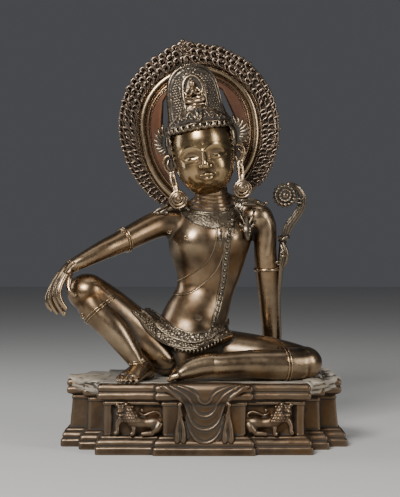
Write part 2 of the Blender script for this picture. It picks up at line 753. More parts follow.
ball(ear, (EARRING[0], 2.4, EARRING[2]), (12, 1.5, 12), 28, 6)
bm = bmesh.new()
both_sides(bm, ear)
ear_mesh = stand(fused(bm, 0.9, 1), HEAD)
print("ears:", len(ear_mesh.polygons), "faces")


# %% [markdown]
# Hair
#
# A fan of ribbed locks spreads beside each temple, small curls run along the brow, and plain locks fall at
# the back. Hair particles would be lost in the export and look nothing like cast hair, so each lock is a
# limb. The two fans differ, as they do on the object.

# %% Hair
FAN_CENTRE = (46, 3, 32)
RIB_SHAPE = [(0.25, 0.06, 0.8), (0.5, 0.24, 1.1), (0.75, 0.26, 1.15), (0.93, 0.12, 0.95), (1.0, -0.08, 0.6)]


def fan(bm, first, last, count, lengths, thick, bend):
    """Ribbed locks that spread from the fan's core; lengths are given from the first angle to the last."""
    x, y, z = FAN_CENTRE
    for i in range(count):
        share = i / (count - 1)
        length = np.interp(share, np.linspace(0, 1, len(lengths)), lengths)
        stations = []
        for r, rise, wide in RIB_SHAPE:
            a = math.radians(first + (last - first) * share + bend * r * r)
            out = length * r
            stations.append((x + out * math.cos(a), y - 8 * rise, z + out * math.sin(a), thick * wide))
        limb(bm, stations, side=(0, 1, 0), around=12, along=20)


bm = bmesh.new()
fan(bm, 62, -74, 9, (26, 27, 25, 23), 1.55, 20)
left = bmesh.new()
fan(left, 62, -64, 8, (30, 25, 23, 21), 1.6, 22)
add(bm, left, MIRROR)
temple = bmesh.new()
ball(temple, (43, 5, 30), (10, 13, 20))
ball(temple, (40.5, 4, 10), (6, 9, 18))
for i, z in enumerate((36, 28.5, 21, 13.5, 6.5)):
    scroll(temple, (42.4 - 0.3 * i, -14 + 1.6 * i, z), (0.5, -0.85, 0), (0, 0, 1), 4.2, 1.3, 0.36)
both_sides(bm, temple)
LOCKS = 27
LOCK_SHAPE = ((53, -1, 2.2), (48.5, 1.6, 2.6), (44.6, 1.4, 2.5), (42.4, -0.6, 1.7))   # z, rise, half width
for i in range(LOCKS):
    a = math.radians(-80 + 160 * i / (LOCKS - 1))
    lean = 0.05 * (1 if i % 2 else -1)
    limb(bm, [
        ((44.6 + out) * math.sin(a + lean * k), 1 - (45.6 + out) * math.cos(a + lean * k), w, half, 2)
        for k, (w, out, half) in enumerate(LOCK_SHAPE)
    ], side=(math.cos(a), math.sin(a), 0), around=12, along=14)
BACK_LOCKS = 17
BACK_ROWS = (
    (53, 0, 42, 43), (30, 0, 43, 44.6), (10, -0.5, 43, 44), (-11, -3.5, 40.4, 41), (-25, -6.8, 35, 35),
)
for i in range(BACK_LOCKS):
    a = math.radians(102 + 156 * i / (BACK_LOCKS - 1))
    limb(bm, [
        (wide * math.sin(a), y - deep * math.cos(a), w, 4.4, 2.2)
        for w, y, wide, deep in BACK_ROWS
    ], side=(math.cos(a), math.sin(a), 0), around=12, along=24)
hair_mesh = stand(fused(bm, 1.05, 1), HEAD)
print("hair:", len(hair_mesh.polygons), "faces")


# %% [markdown]
# The crown
#
# A tall cone with a round-topped plate on its front: a double raised border, small grains all over, and a
# leafy arch in the middle. The borders are straps laid on the cone. Hundreds of separate grains would be
# heavy, so they are pushed out of the skin as offset rows of a sine pattern.

# %% Crown forms
CROWN_SIDE = [(38.5, 58), (38, 74), (36.5, 94), (34, 112), (27, 127), (14, 136)]
NICHE_SIDE = [(15, 72), (15, 92), (13.5, 106), (8.5, 116)]


def arch_line(side, top, scale=1.0, foot=56):
    """Points from the left foot over the top to the right foot, drawn in towards the middle by a scale."""
    line = [(0, top)] + side[::-1]
    return mirrored([(x * scale, foot + (z - foot) * scale) for x, z in line])


bm = bmesh.new()
limb(bm, [
    (0, 2, 45, 45, 45), (-0.2, 1.6, 53, 46, 45), (-0.6, 1, 62, 43, 40), (-1, 0, 76, 40, 34.5),
    (-1, -1, 94, 38.5, 31), (-1, -2, 113, 35.5, 27), (-1, -2, 127, 28.5, 21), (-1, -2, 134.5, 19, 14),
    (-1, -2, 138, 10, 7), (-1, -2, 139.5, 2, 2),
], around=56, along=70)
cone = bmesh.new()
add(cone, bm.copy())
cone_tree = tree_of(to_mesh(cone))
for scale, wire in ((0.975, 1.3), (0.9, 1.1)):
    path, normals = seen(cone_tree, arch_line(CROWN_SIDE, 138.4, scale), 1.0, 0.7)
    strap(bm, path, normals, wire, wire)
path, normals = seen(cone_tree, arch_line(NICHE_SIDE, 120, foot=72), 1.0, 0.6)
strap(bm, path, normals, 2.9, 1.7)
leafy_side = [(x + 4.2, z) for x, z in NICHE_SIDE[1:]]
outer, normals = seen(cone_tree, arch_line(leafy_side, 124.5, foot=72), 1.0, 0.8)
for i, p in enumerate(even(outer, 4.2)):
    ball(bm, p, (1.9, 1.9, 2.2 + 0.5 * (i % 2)), 10, 8)
leaf, normals = seen(cone_tree, [(0, 121), (0, 130)], 1.0, 0.8)
strap(bm, leaf, normals, (3.2, 2.6, 0.8), 1.5)
crown_mesh = fused(bm, 1.1, 1)
print("crown skin:", len(crown_mesh.polygons), "faces")

# %% Crown grains
crown = Skin(crown_mesh)
x, z = np.abs(crown.co[:, 0]), crown.co[:, 2]
line = np.array(arch_line(CROWN_SIDE, 138.4, 0.86))[7:]
plate_edge = np.interp(z, line[::-1, 1], line[::-1, 0])
niche_edge = np.interp(z, [60, 92, 106, 116, 122, 130], [18.6, 18.6, 18, 13, 6, 0])
front = (crown.co[:, 1] < -6) & (z > 58) & (x > niche_edge) & (x < plate_edge)
row = z / 3.6
column = x / 4.0 + 0.5 * (np.floor(row) % 2)
grain = np.abs(np.sin(math.pi * row) * np.sin(math.pi * column))
crown.push(np.where(front, 1.7 * grain ** 0.8 - 0.5, 0))
stand(crown_mesh, HEAD)

# %% [markdown]
# The figure in the niche
#
# A small seated figure sits under the crown's arch. It is cast with the crown, but rubbed brighter, so it
# is a piece of its own and takes the body's finish. At a tenth of the big figure's size, a few balls and
# limbs do: head, topknot, chest, joined hands, crossed legs, a sash each side, and two rows of the seat.

# %% Niche figure
bm = bmesh.new()
ball(bm, (-0.5, -33.6, 108), (4.9, 4.9, 5.6), 16, 12)
ball(bm, (-0.5, -30.5, 114.4), (2.6, 2.8, 3), 12, 8)
ball(bm, (-0.5, -33, 97), (6.4, 4.4, 7.4), 16, 12)
for s in (-1, 1):
    limb(bm, [
        (6 * s - 0.5, -32.5, 102, 2.1), (10 * s - 0.5, -34.5, 94.5, 2.0), (4 * s - 0.5, -38.6, 92.5, 1.7),
        (-0.5, -39.4, 98.5, 1.2),
    ], side=(0, 1, 0), around=10)
    limb(bm, [
        (3 * s, -34.5, 87.5, 3.4), (12.4 * s, -36.5, 85, 3.4), (8 * s, -40.5, 82.5, 2.8),
        (-4 * s, -40.5, 82, 2.2),
    ], side=(0, 0, 1), around=12)
    limb(bm, [
        (14 * s, -35, 100, 1), (11 * s, -36, 92, 1.2), (14.5 * s, -36, 85, 1),
    ], side=(0, 1, 0), around=8)
for z, half in ((77.5, 13), (73.5, 14.5)):
    limb(bm, mirrored([(0, -40, z, 2.1), (half, -35.5, z, 1.6)]), side=(0, 0, 1), around=10)
niche_mesh = stand(fused(bm, 0.85, 1), HEAD)
print("niche figure:", len(niche_mesh.polygons), "faces")

# %% [markdown]
# The brim
#
# A band of leafy scrolls rises to a point over the brow. A plane bent round a cylinder would have a
# straight top, so the band is a grid whose points are worked out from an angle and a share of its height.
# Scrolls and balls are laid on the same two numbers.

# %% Brim of scrolls
PEDIMENT = ((0, 80), (14, 76), (30, 69), (48, 61), (75, 54), (102, 52))
BRIM_FOOT = 50.5
BRIM_END = 102                   # degrees from the front at which the brim ends


def brim_point(angle, share):
    """A point on the brim: the angle from the front, and the share of the way up from its foot."""
    a = np.radians(angle)
    rise = (np.interp(np.abs(angle), *zip(*PEDIMENT)) - BRIM_FOOT) * share
    radius = 47.5 - (0.26 + 0.1 * (1 - share)) * rise - 1.5 * np.sin(math.pi * np.minimum(1, 1.6 * share))
    return np.stack([radius * np.sin(a), 1 - (radius - 1) * np.cos(a), BRIM_FOOT + rise], axis=-1)


bm = bmesh.new()
sheet(bm, 160, 16, lambda along, across: brim_point(BRIM_END * (2 * along - 1), across))
band_mesh = layer(bm, 1.6)
bm = bmesh.new()
bm.from_mesh(band_mesh)
bm.transform(Matrix.Scale(1 / MM, 4))
for share, wire in ((0.02, 1.7), (1.0, 1.3)):
    tube(bm, brim_point(np.linspace(-BRIM_END, BRIM_END, 161), share), wire, wire, (0, 0, 1), 10)
BRIM_SCROLLS = (
    (10, 0.42, 7.4), (26, 0.45, 6.4), (41, 0.46, 5.2), (55, 0.46, 4.2), (69, 0.46, 3.4), (83, 0.46, 2.8),
)
for s in (-1, 1):
    for angle, share, size in BRIM_SCROLLS:
        a = math.radians(s * angle)
        at = brim_point(s * angle, share) + 2.4 * np.array([math.sin(a), -math.cos(a), 0])
        right = (s * math.cos(a), s * math.sin(a), 0)
        up = (-0.3 * math.sin(a), 0.3 * math.cos(a), 0.95)
        scroll(bm, at, right, up, size, 1.5, 0.22)
        ball(bm, brim_point(s * (angle + 7), 0.82), (1.8, 2.6, 2.6), 10, 8)
for u, rise, lean in ((0, 22, 0), (-4.6, 15, -4), (4.6, 15, 4)):
    limb(bm, [
        (u * 0.4, -48.5, 53, 2.2), (u, -46.5, 53 + rise * 0.55, 2.8), (u + lean, -41.5, 53 + rise, 1.1),
    ], side=(1, 0, 0), around=12)
ball(bm, (0, -49, 55), (3.6, 3, 3.6), 14, 10)
brim_mesh = stand(fused(bm, 0.85, 1), HEAD)
print("brim:", len(brim_mesh.polygons), "faces")


# %% [markdown]
# The halo
#
# A flat plate with a round-topped opening behind the head. A polished ring with thin fillets runs round it,
# and a flat lug at its foot holds it to the figure's back. A cut disc would have a round opening and a
# round edge, so the plate is two bands between radii that change with the angle from the top. All of it is
# drawn upright round its own centre and then tilted, the same way as the head.

# %% Halo plan
HALO_CENTRE, HALO_TILT = (-8, 56, 460.5), 11
HALO = Matrix.Translation(HALO_CENTRE) @ Matrix.Rotation(math.radians(-HALO_TILT), 4, "Y")
HALO_FOOT = 143                  # degrees from the top at which the border is narrowest
RING_FOOT = 152                  # the ring runs on a little, behind the earrings
RING_HALF = 9.6                  # half the ring's width with its fillets
ARCH = [(0, 70), (12, 69), (28, 62), (44, 44), (54, 0), (56, -84), (48, -138)]
PEAK, PEAK_REACH = 10.0, 17.0    # how far the border rises to its point, and over how many degrees


def opened(angle, top, feet):
    """A radius that is the same down to the halo's waist and then grows towards its left and right feet."""
    foot = np.where(np.asarray(angle) < 0, *feet)
    return top + (foot - top) * np.clip((np.abs(angle) - 92) / (HALO_FOOT - 92), 0, None) ** 1.5


def ring_at(angle):
    """Radius of the ring's middle line."""
    return opened(angle, 82.4, (105.4, 94))


def edge_at(angle):
    """Radius of the border's outer edge, which rises to a point at the top."""
    return opened(angle, 118, (130, 127)) + PEAK * np.clip(1 - np.abs(angle) / PEAK_REACH, 0, 1) ** 1.8


def on_halo(angle, radius, y):
    a = np.radians(angle)
    return np.stack([radius * np.sin(a), y + 0 * a, radius * np.cos(a)], axis=-1)


def inner_at(angle):
    """Radius of the opening's edge."""
    line = even(np.array(ARCH, float), 1)
    return np.interp(np.abs(angle), np.degrees(np.arctan2(line[:, 0], line[:, 1])), np.hypot(*line.T))


# %% Halo plate
def band(low, high, rows):
    """A flat band of the halo between two radii, 6.5 mm thick."""
    bm = bmesh.new()

    def place(along, across):
        angle = -155 + 310 * along
        return on_halo(angle, low(angle) + (high(angle) - low(angle)) * across, 4.5)

    sheet(bm, 220, rows, place)
    return layer(bm, 3.25)


inner_band = band(inner_at, ring_at, 8)
border_band = band(ring_at, lambda angle: edge_at(angle) - 3.5, 6)
field_mesh = stand(inner_band, HALO)
print("halo plate:", len(field_mesh.polygons), "faces")

# %% Halo ring and lug
bm = bmesh.new()
LUG = [(0, 4.5, -150, 17, 3.4), (42, 4.5, -150, 15, 3.2), (50, 4.5, -150, 9, 2.4)]
limb(bm, mirrored(LUG), side=(0, 0, 1), around=24)
RING_LINES = (  # how far out of the ring's middle line, half width, half depth, y
    (0, 6.2, 5.6, 2.6), (8.2, 1.4, 2.2, 0.2), (-8.4, 1.4, 2.2, 0.6), (-11.4, 0.7, 1.2, 1),
)
arc = np.linspace(-RING_FOOT, RING_FOOT, 221)
for offset, wide, deep, y in RING_LINES:
    tube(bm, on_halo(arc, ring_at(arc) + offset, y), deep, wide, (0, 1, 0), 14)
ring_mesh = stand(to_mesh(bm), HALO)
print("halo ring:", len(ring_mesh.polygons), "faces")

# %% [markdown]
# The flames
#
# The border is filled by three rows of small flames. High up each is a curl, and down the sides it is drawn
# out into a leaning tongue. One flame could be made once and copied, but hand-cut ones are never alike. So
# two shapes are blended by the angle, and each flame gets a little chance in place, size and lean, from a
# seeded generator.

# %% Flames
CURL = [  # towards the halo's top, outward, forward, thickness, all in shares of the flame's size
    (-1.5, -0.75, 0.0, 0.1), (-0.8, -0.92, 0.15, 0.22), (0.1, -0.8, 0.4, 0.3), (0.74, -0.2, 0.55, 0.34),
    (0.6, 0.5, 0.6, 0.34), (0.0, 0.74, 0.6, 0.33), (-0.5, 0.42, 0.6, 0.32), (-0.36, 0.02, 0.65, 0.3),
]
TONGUE = [
    (-1.55, -1.2, 0.1, 0.1), (-1.2, -0.95, 0.3, 0.2), (-0.75, -0.65, 0.45, 0.26), (-0.2, -0.45, 0.52, 0.3),
    (0.3, -0.1, 0.55, 0.31), (0.45, 0.4, 0.58, 0.32), (0.75, 0.8, 0.55, 0.33), (1.15, 0.7, 0.45, 0.2),
]
FLAME_FOOT = 149
FLAME_HEAD = 2.5
FLAME_ROWS = [(0.15, 5.5, 0.0), (0.47, 5.8, 0.8), (0.79, 5.3, 0.6)]   # share of the border, size, stagger
FLAME_COUNT = 31                 # in each row, down each side
FLAME_SWELL = 0.07               # how much wider apart the flames stand near the top
CURL_END, BLEND = 48, 30         # degrees from the top to the last curl, and on to the first full tongue


def flame(bm, angle, side, radius, size, turn):
    """One flame of the border. High up it is a curl; low down it grows into a longer tongue."""
    slim = float(np.clip((angle - CURL_END) / BLEND, 0, 1))
    stations = []
    for curl, tongue in zip(CURL, TONGUE):
        along, out, forward, thick = (np.array(curl) * (1 - slim) + np.array(tongue) * slim) * size
        turned = along * math.cos(turn) - out * math.sin(turn)
        out = along * math.sin(turn) + out * math.cos(turn)
        x, _, z = on_halo(side * (angle - math.degrees(turned / radius)), radius + out, 0)
        stations.append((x, 0.8 - forward, z, thick))
    limb(bm, stations, side=(0, 1, 0), around=8, along=14)


bm = bmesh.new()
uneven = np.random.default_rng(11)
for share, size, stagger in FLAME_ROWS:
    for i in range(FLAME_COUNT):
        t = (i + stagger) / FLAME_COUNT
        angle = FLAME_HEAD + (FLAME_FOOT - FLAME_HEAD) * (t + FLAME_SWELL * math.sin(math.pi * t))
        swell = 1 + FLAME_SWELL * math.pi * max(-0.3, math.cos(math.pi * t))
        for side in (-1, 1):
            room = float(edge_at(side * angle) - ring_at(side * angle)) - RING_HALF
            radius = float(ring_at(side * angle)) + RING_HALF + share * room + uneven.uniform(-0.5, 0.5)
            grown = size * swell * max(0.5, min(1.1, room / 25)) * uneven.uniform(0.88, 1.12)
            flame(bm, angle + uneven.uniform(-0.7, 0.7), side, radius, grown, uneven.uniform(-0.4, 0.4))
arc = np.linspace(-HALO_FOOT, HALO_FOOT, 241)
tube(bm, on_halo(arc, edge_at(arc) - 2.4, 2.0), 2.0, 2.2, (0, 1, 0), 10)

# %% Finial
FINIAL_SCROLLS = (  # x, y, z, which way it turns, size, wire
    (3.6, -2.4, 119, 1, 3.4, 0.36), (8.4, -2.2, 114.5, 1, 4, 0.34), (4.2, -3, 110.5, -1, 4, 0.34),
    (3.8, -3, 102.5, 1, 4.2, 0.34),
)
limb(bm, [
    (0, 2, 103, 7, 3.2), (0, 1.6, 112, 6.4, 3.2), (0, 1.2, 119, 4.2, 3), (0, 0.8, 124, 2.6, 2.6),
], around=16)
ball(bm, (0, 0.4, 125.6), (3.7, 3.4, 3.3), 16, 12)
for s in (-1, 1):
    for x, y, z, way, size, wire in FINIAL_SCROLLS:
        scroll(bm, (x * s, y, z), (way * s, 0, 0), (0, 0, 1), size, 1.3, wire)
flame_mesh = stand(together(border_band, to_mesh(bm)), HALO)
print("flames:", len(flame_mesh.polygons), "faces")


# %% [markdown]
# The plinth
#
# One moulded profile is carried round a stepped plan: two fascias at the foot, an upright wall, and two
# rounds under the top edge. Boxes with bevels could be stacked, but their corners wouldn't mitre. So a grid
# is wrapped round: its columns follow the plan and its rows the profile, and the last row is filled. The
# wall's front has a sunk panel each side of the middle for a lion.

# %% Plinth plan and profile
PLAN_QUARTER = ((203, 27), (175, 27), (175, 56), (149, 56), (149, 104), (70, 104), (70, 112))
PROFILE = (  # height, inset
    (0, 1), (1, 0), (9.4, 0), (10.6, 0.9), (11.2, 2.6), (12, 3.4), (12.8, 2.8), (14.6, 1.9), (17, 2.1),
    (19.4, 3.4), (21.6, 5.8), (22.4, 7.6), (23.2, 7.4), (24.6, 7.8), (25.6, 9.6), (26.4, 11.8), (27.4, 12),
    (66.6, 12), (67.2, 10.8), (70.8, 10.8), (71.6, 12), (72.6, 11.6), (73.6, 8.8), (74.6, 5.6), (76, 3.8),
    (79.4, 3), (82.6, 3.4), (84.2, 4.6), (85.2, 6), (86, 5), (87.4, 3.5), (89, 3.1), (89.8, 3.8),
    (90.8, 3.3), (92.2, 3.7), (93, 4.4), (94.2, 4.6), (95.8, 6.8), (97, 10.4),
)
GRID_STEP = 2.6
PANEL = {"from": 56, "to": 126, "floor": 25.6, "top": 67.4, "wall": -85.5}
END_FROM, END_LEAN = 149, 0.11   # where the plinth's ends begin, and how far they lean in above the foot


def corners(inset):
    """The plan's corners, drawn in by an inset."""
    quarter = [(x - inset, y - inset) for x, y in PLAN_QUARTER]
    half = quarter + [(-x, y) for x, y in quarter[::-1]]
    return np.array(half + [(-x, -y) for x, y in half])


sides = np.linalg.norm(np.roll(corners(0), -1, axis=0) - corners(0), axis=1)
steps = np.maximum(1, np.rint(sides / GRID_STEP)).astype(int)
profile = even(np.array(PROFILE, float), 1.7)


def plinth_skin(along, across):
    """Each point's place: its column runs round the plan, its row up the profile."""
    edge = np.repeat(np.arange(len(steps)), steps)
    share = np.concatenate([np.arange(n) / n for n in steps])[:, None]
    column = np.rint(along * len(edge)).astype(int) % len(edge)
    row = np.rint(across * (len(profile) - 1)).astype(int)
    place = np.zeros((len(along), 3))
    for i, (height, inset) in enumerate(profile):
        outline = corners(inset)
        line = outline[edge] * (1 - share) + np.roll(outline, -1, axis=0)[edge] * share
        line = 0.5 * line + 0.25 * (np.roll(line, 1, axis=0) + np.roll(line, -1, axis=0))
        here = row == i
        place[here, :2] = line[column[here]]
        place[here, 2] = height
    x, y, z = place.T
    aside = (np.abs(x) > PANEL["from"]) & (np.abs(x) < PANEL["to"])
    sunk = aside & (y < -80) & (z > PANEL["floor"]) & (z < PANEL["top"])
    place[sunk, 1] = PANEL["wall"]
    lean = END_LEAN * np.clip(np.abs(x) - END_FROM, 0, None) * np.clip((z - 24) / 50, 0, 1)
    place[:, 0] -= np.sign(x) * lean
    return place


# %% Plinth skin
bm = bmesh.new()
sheet(bm, int(steps.sum()), len(profile) - 1, plinth_skin)
bmesh.ops.remove_doubles(bm, verts=bm.verts, dist=1e-3)
bmesh.ops.holes_fill(bm, edges=bm.edges, sides=0)
bmesh.ops.recalc_face_normals(bm, faces=bm.faces)
plinth_mesh = to_mesh(bm)
plinth = Skin(plinth_mesh)
worn = np.array([noise.fractal(Vector(p) * 0.035, 1, 2, 4) for p in plinth.co])
plinth.push(np.where((plinth.co[:, 2] > 1) & (plinth.co[:, 2] < 96), 0.55 * worn, 0))
print("plinth:", len(plinth_mesh.polygons), "faces")

# %% [markdown]
# The lions
#
# A lion stands in each panel, its head turned to the front, its mane in rows of dots and its tail over its
# back. It is low relief, but a height map would smear at the steep sides, so it is built as a round body
# that is half sunk in the wall. The right one is the left one's mirror image.

# %% Lions
def lion_part(bm, stations, **options):
    """A limb whose stations give x, how far it stands out from the panel, z and radius."""
    limb(bm, [(x, PANEL["wall"] - out, z, r) for x, out, z, r in stations], side=(0, 1, 0), **options)


lion = bmesh.new()
lion_part(lion, [
    (-57.5, 3, 41, 4), (-62, 5, 42.6, 8.6), (-70, 7, 43, 8.8), (-80, 7, 42.4, 7.6), (-90, 8, 43.6, 8.4),
    (-99, 8, 48, 10.4), (-106, 8, 57, 9.6),
], around=28)
lion_part(lion, [(-60.5, 9, 42, 7), (-64, 12, 36, 6), (-70, 13, 30.6, 4)])
lion_part(lion, [(-68, 12, 29, 3.8), (-77, 13, 29, 3.4), (-85.6, 13.6, 28.2, 2.8)])
lion_part(lion, [(-97, 9, 44, 5.4), (-96, 13, 34, 3.4), (-96.6, 13, 29, 3.2), (-100.6, 14.6, 27.8, 2.8)])
lion_part(lion, [(-111, 8, 51, 5.6), (-117.6, 10, 41, 3.6), (-118.6, 12, 31, 3.2), (-122, 13, 28, 2.8)])
lion_part(lion, [
    (-57, 4, 47, 1.9), (-59.5, 5, 54, 1.9), (-66, 5, 57.6, 1.8), (-74, 6, 55.8, 1.8), (-82, 6, 53, 1.9),
    (-88, 7, 56.4, 1.9), (-87, 8, 60.8, 2),
], along=60)
ball(lion, (-84.4, PANEL["wall"] - 9.6, 60), (3, 3, 3), 14, 10)
ball(lion, (-107, PANEL["wall"] - 7, 60.6), (11, 8, 10.4), 28, 18)
fleece = tree_of(to_mesh(lion.copy()))
ball(lion, (-113, PANEL["wall"] - 12.6, 62), (6.4, 6, 6.4), 20, 14)
ball(lion, (-115.4, PANEL["wall"] - 17, 59.6), (3.8, 3.6, 2.6), 14, 10)
lion_part(lion, [(-119, 12, 56, 1.5), (-113.6, 17, 53.8, 1.9), (-107.6, 12, 55.6, 1.5)])
for x, z in ((-116, 64.6), (-110.4, 64.6)):
    ball(lion, (x, PANEL["wall"] - 17.8, z), (1.6, 1.5, 1.6), 10, 8)
    lion_part(lion, [(x - 3, 15, z + 2.4, 1), (x, 18, z + 3.2, 1.2), (x + 3, 15, z + 2.4, 1)], around=8)
for x, z in ((-118.6, 67.6), (-106.4, 68.4)):
    ball(lion, (x, PANEL["wall"] - 10, z), (2.8, 2.4, 3), 12, 8)
for row in range(6):
    for column in range(6):
        x, z = -92 - 3.8 * column - 1.9 * (row % 2), 46 + 3.8 * row
        place = front_hit(fleece, x, z)
        if place and math.hypot(x + 114, z - 60) > 8.6 and place.y < PANEL["wall"] - 7:
            ball(lion, place, (1.8, 1.3, 1.8), 10, 8)
bm = bmesh.new()
both_sides(bm, lion)
lion_mesh = fused(bm, 0.93, 1)
print("lions:", len(lion_mesh.polygons), "faces")

# %% [markdown]
# The cloth on the front
#
# A cloth hangs from the seat over the plinth's front, with looped folds in the middle and two tails at each
# side. A cloth simulation would fall into folds of its own, and this one is carved, with each fold in its
# place. So it is a bent slab on which the folds are raised along hanging curves.

# %% Cloth over the plinth's front
bm = bmesh.new()
limb(bm, [
    (1, -92, 95.4, 64, 3), (1, -108, 95.4, 63, 3.4), (1, -112.4, 91, 58, 3.4), (1, -112.8, 84, 48, 3.6),
    (1, -112, 77, 38, 4), (1, -107, 70, 30, 5), (1, -105.6, 56, 27, 6), (1, -105.4, 36, 27, 6.6),
    (1, -105.6, 22, 24, 6), (1, -105.6, 16.5, 15, 4),
], around=56, along=80)
tail = bmesh.new()
for foot, lean in ((28, 0), (36.6, 1)):
    limb(tail, [
        (33 + lean, -112, 72, 2.4, 2.8), (32 + 1.8 * lean, -109, 54, 2.8, 3.6), (foot, -108.8, 36, 3.8, 4.4),
        (foot, -109, 22.5, 4.8, 5.2), (foot - 0.2, -108.4, 16.6, 2.8, 3),
    ], side=(1, 0, 0), around=20, along=44)
both_sides(bm, tail)
cloth_mesh = fused(bm, 1.15, 1)
cloth = Skin(cloth_mesh)
cloth_tree = tree_of(cloth_mesh)
FOLDS = [  # half width low down, lowest height, half width at the top edge
    (10, 71.2, 37), (17, 53.8, 47), (24, 35.7, 56), (25, 17.6, 63),
]
for reach, low, top in FOLDS:
    span = 96 - low
    right = [
        (0.45 * reach, low + 0.05 * span), (0.8 * reach, low + 0.2 * span), (reach, low + 0.42 * span),
        (0.75 * reach + 0.25 * top, low + 0.66 * span), (0.4 * reach + 0.6 * top, low + 0.84 * span),
        (top, 95),
    ]
    line = [(1 + x, z) for x, z in mirrored([(0, low)] + right)]
    path = seen(cloth_tree, line, 0.8)[0]
    cloth.push(1.7 * bump(cloth.distance(path), 2.6))
    cloth.push(-0.9 * bump(cloth.distance(path + [0, 0, 3.2]), 2.6))
for a, b in ((38, 44), (43, 52), (50, 60)):
    for s in (-1, 1):
        line = [(1 + s * x, z) for x, z in ((b, 94), (a + 2, 87), (a - 4, 80), (32, 70))]
        cloth.push(1.1 * bump(cloth.distance(seen(cloth_tree, line, 0.8)[0]), 2.3))
print("cloth:", len(cloth_mesh.polygons), "faces")

# %% [markdown]
# The seat and the rocks
#
# The seat's top is dusty and slightly uneven, and rough layered rock hangs over the plinth's ends, higher
# at the right. Rock could be carved stone by stone, but a ledge of one thick limb and a few slabs, pushed
# about by a noise that is stretched flat, gives the same layers.

# %% Seat
SEAT_EDGE = ((10, 186), (18, 168), (44, 162), (52, 141), (96, 141))   # y from the middle, half width there
SEAT_TOP = 97.2


def seat_surface(along, across):
    """The seat's dusty top over the whole plan, a little uneven."""
    y = -94 + 188 * across
    x = (2 * along - 1) * np.interp(np.abs(y), *zip(*SEAT_EDGE))
    rough = np.array([noise.fractal(Vector((a * 0.06, b * 0.06, 3)), 1, 2, 4) for a, b in zip(x, y)])
    return np.stack([x, y, SEAT_TOP + 0.45 * rough], axis=1)


bm = bmesh.new()
sheet(bm, 96, 48, seat_surface)
seat_mesh = layer(bm, 0.3)
print("seat:", len(seat_mesh.polygons), "faces")

# %% Rocks
LEDGE = [
    (140, -84, 90, 8, 8), (144, -64, 88, 9, 10), (156, -50, 88, 10, 11), (163, -40, 88.5, 10, 11),
    (173, -24, 88.5, 10, 11), (185, -10, 88.5, 9.6, 11), (185, 11, 88.5, 9.6, 11), (174, 26, 88.5, 10, 11),
    (163, 42, 88, 10, 11), (148, 58, 88, 9, 10),
]
SLABS = [(150, -42, 96, 22, 32, 4.6), (160, -6, 97, 26, 28, 5.6), (154, 34, 96, 22, 26, 4.6)]
HIGH_ROCKS = [(172, 2, 101, 12, 13, 7), (178, -12, 98, 9, 11, 8), (158, -24, 99, 11, 12, 5)]
bm = bmesh.new()
for s, lumps in ((-1, SLABS), (1, SLABS + HIGH_ROCKS)):
    limb(bm, [(s * x, *rest) for x, *rest in LEDGE], side=(0.8, 0.6, 0), around=28, along=90)
    for x, y, z, *radii in lumps:
        ball(bm, (s * x, y, z), radii)
SWIRLS = ((164, -34, 99), (176, -24, 102), (170, -18, 106), (183, -10, 96), (152, -48, 96))
for i, (x, y, z) in enumerate(SWIRLS):
    scroll(bm, (x - 4, y - 8, z), (1, 0, 0), (0, 0, 1), 5.4 - 0.5 * (i % 3), 1.3, 0.36)
rock_mesh = fused(bm, 1.8, 1)
rock = Skin(rock_mesh)
strata = rock.co * (0.02, 0.02, 0.16)
rock.push(3.2 * np.array([noise.fractal(Vector(p), 1, 2, 3) for p in strata]))
print("rocks:", len(rock_mesh.polygons), "faces")


# %% [markdown]
# The lotus
#
# Its stem is cast against the left arm from the plinth to a knot above the elbow. It stands free above that
# and curls over into a round flower. The ribbed upper stem could be one fluted profile, but four thin tubes
# laid on a flat one melt into the same ribs. The petals are a loop round the flower's middle.

# %% Lotus stem
STEM = [
    (113, 21, 284), (117.5, 17, 299), (121.5, 16, 311), (129.5, 15, 322.5), (137.5, 14, 334.5),
    (141, 13, 346), (139.5, 11, 358), (132, 9, 368), (120, 8, 373),
]
FLOWER = (116.2, 2, 355.8)


def petals(bm, count, radius, back, tip, half, stagger=0.0):
    """A ring of pointed petals round the flower's middle."""
    for i in range(count):
        a = 2 * math.pi * (i + stagger) / count
        along = np.array((math.sin(a), 0, math.cos(a)))
        root, top = (np.array(FLOWER) + along * r + (0, back, 0) for r in (radius, radius + tip))
        limb(bm, [
            (*root, half * 0.8, 1.2), (*(0.5 * (root + top) - (0, 1.2, 0)), half, 1.7), (*top, 0.5, 0.7),
        ], side=(along[2], 0, -along[0]), around=10, along=10)


bm = bmesh.new()
limb(bm, [
    (109, 52, 98, 3.6), (110, 46, 150, 3.6), (108, 36, 202, 3.8), (110, 28, 240, 4.2), (112, 23, 268, 4.8),
    (114, 20, 290, 5),
], side=(0, 1, 0), around=16, along=70)
path = rows_along(STEM, 90)
across = unit(np.cross(np.gradient(path, axis=0), (0, 1, 0)))
spread = np.interp(np.linspace(0, 1, len(path)), (0, 0.15, 0.6, 1), (0.8, 1, 1, 0.55))[:, None]
tube(bm, path, 5.2 * spread, 3 * spread, across, 16)
for offset in (-4.8, -1.6, 1.6, 4.8):
    centres = path + offset * spread * across - (0, 2.6 - 0.06 * offset ** 2, 0)
    tube(bm, centres, 1.45 * spread, 1.45 * spread, across, 8)
for lift, low, high in ((-1, 290.5, 298), (0, 298, 291.5)):
    middle = 0.5 * (low + high)
    limb(bm, [
        (107.5, 17, low, 1.6), (112, 12.6 + lift, middle - 2, 2.2), (118, 12.6 + lift, middle + 2, 2.2),
        (123, 17, high + 3, 1.6),
    ], side=(0, 1, 0), around=12)
ball(bm, (115.5, 16, 294.5), (7.4, 5.6, 5))
limb(bm, [
    (113, 15, 289, 3), (117, 13, 279, 3.4), (119.6, 12, 270, 3), (118, 13, 260, 2.6), (114, 15, 252, 1.6),
], around=14)
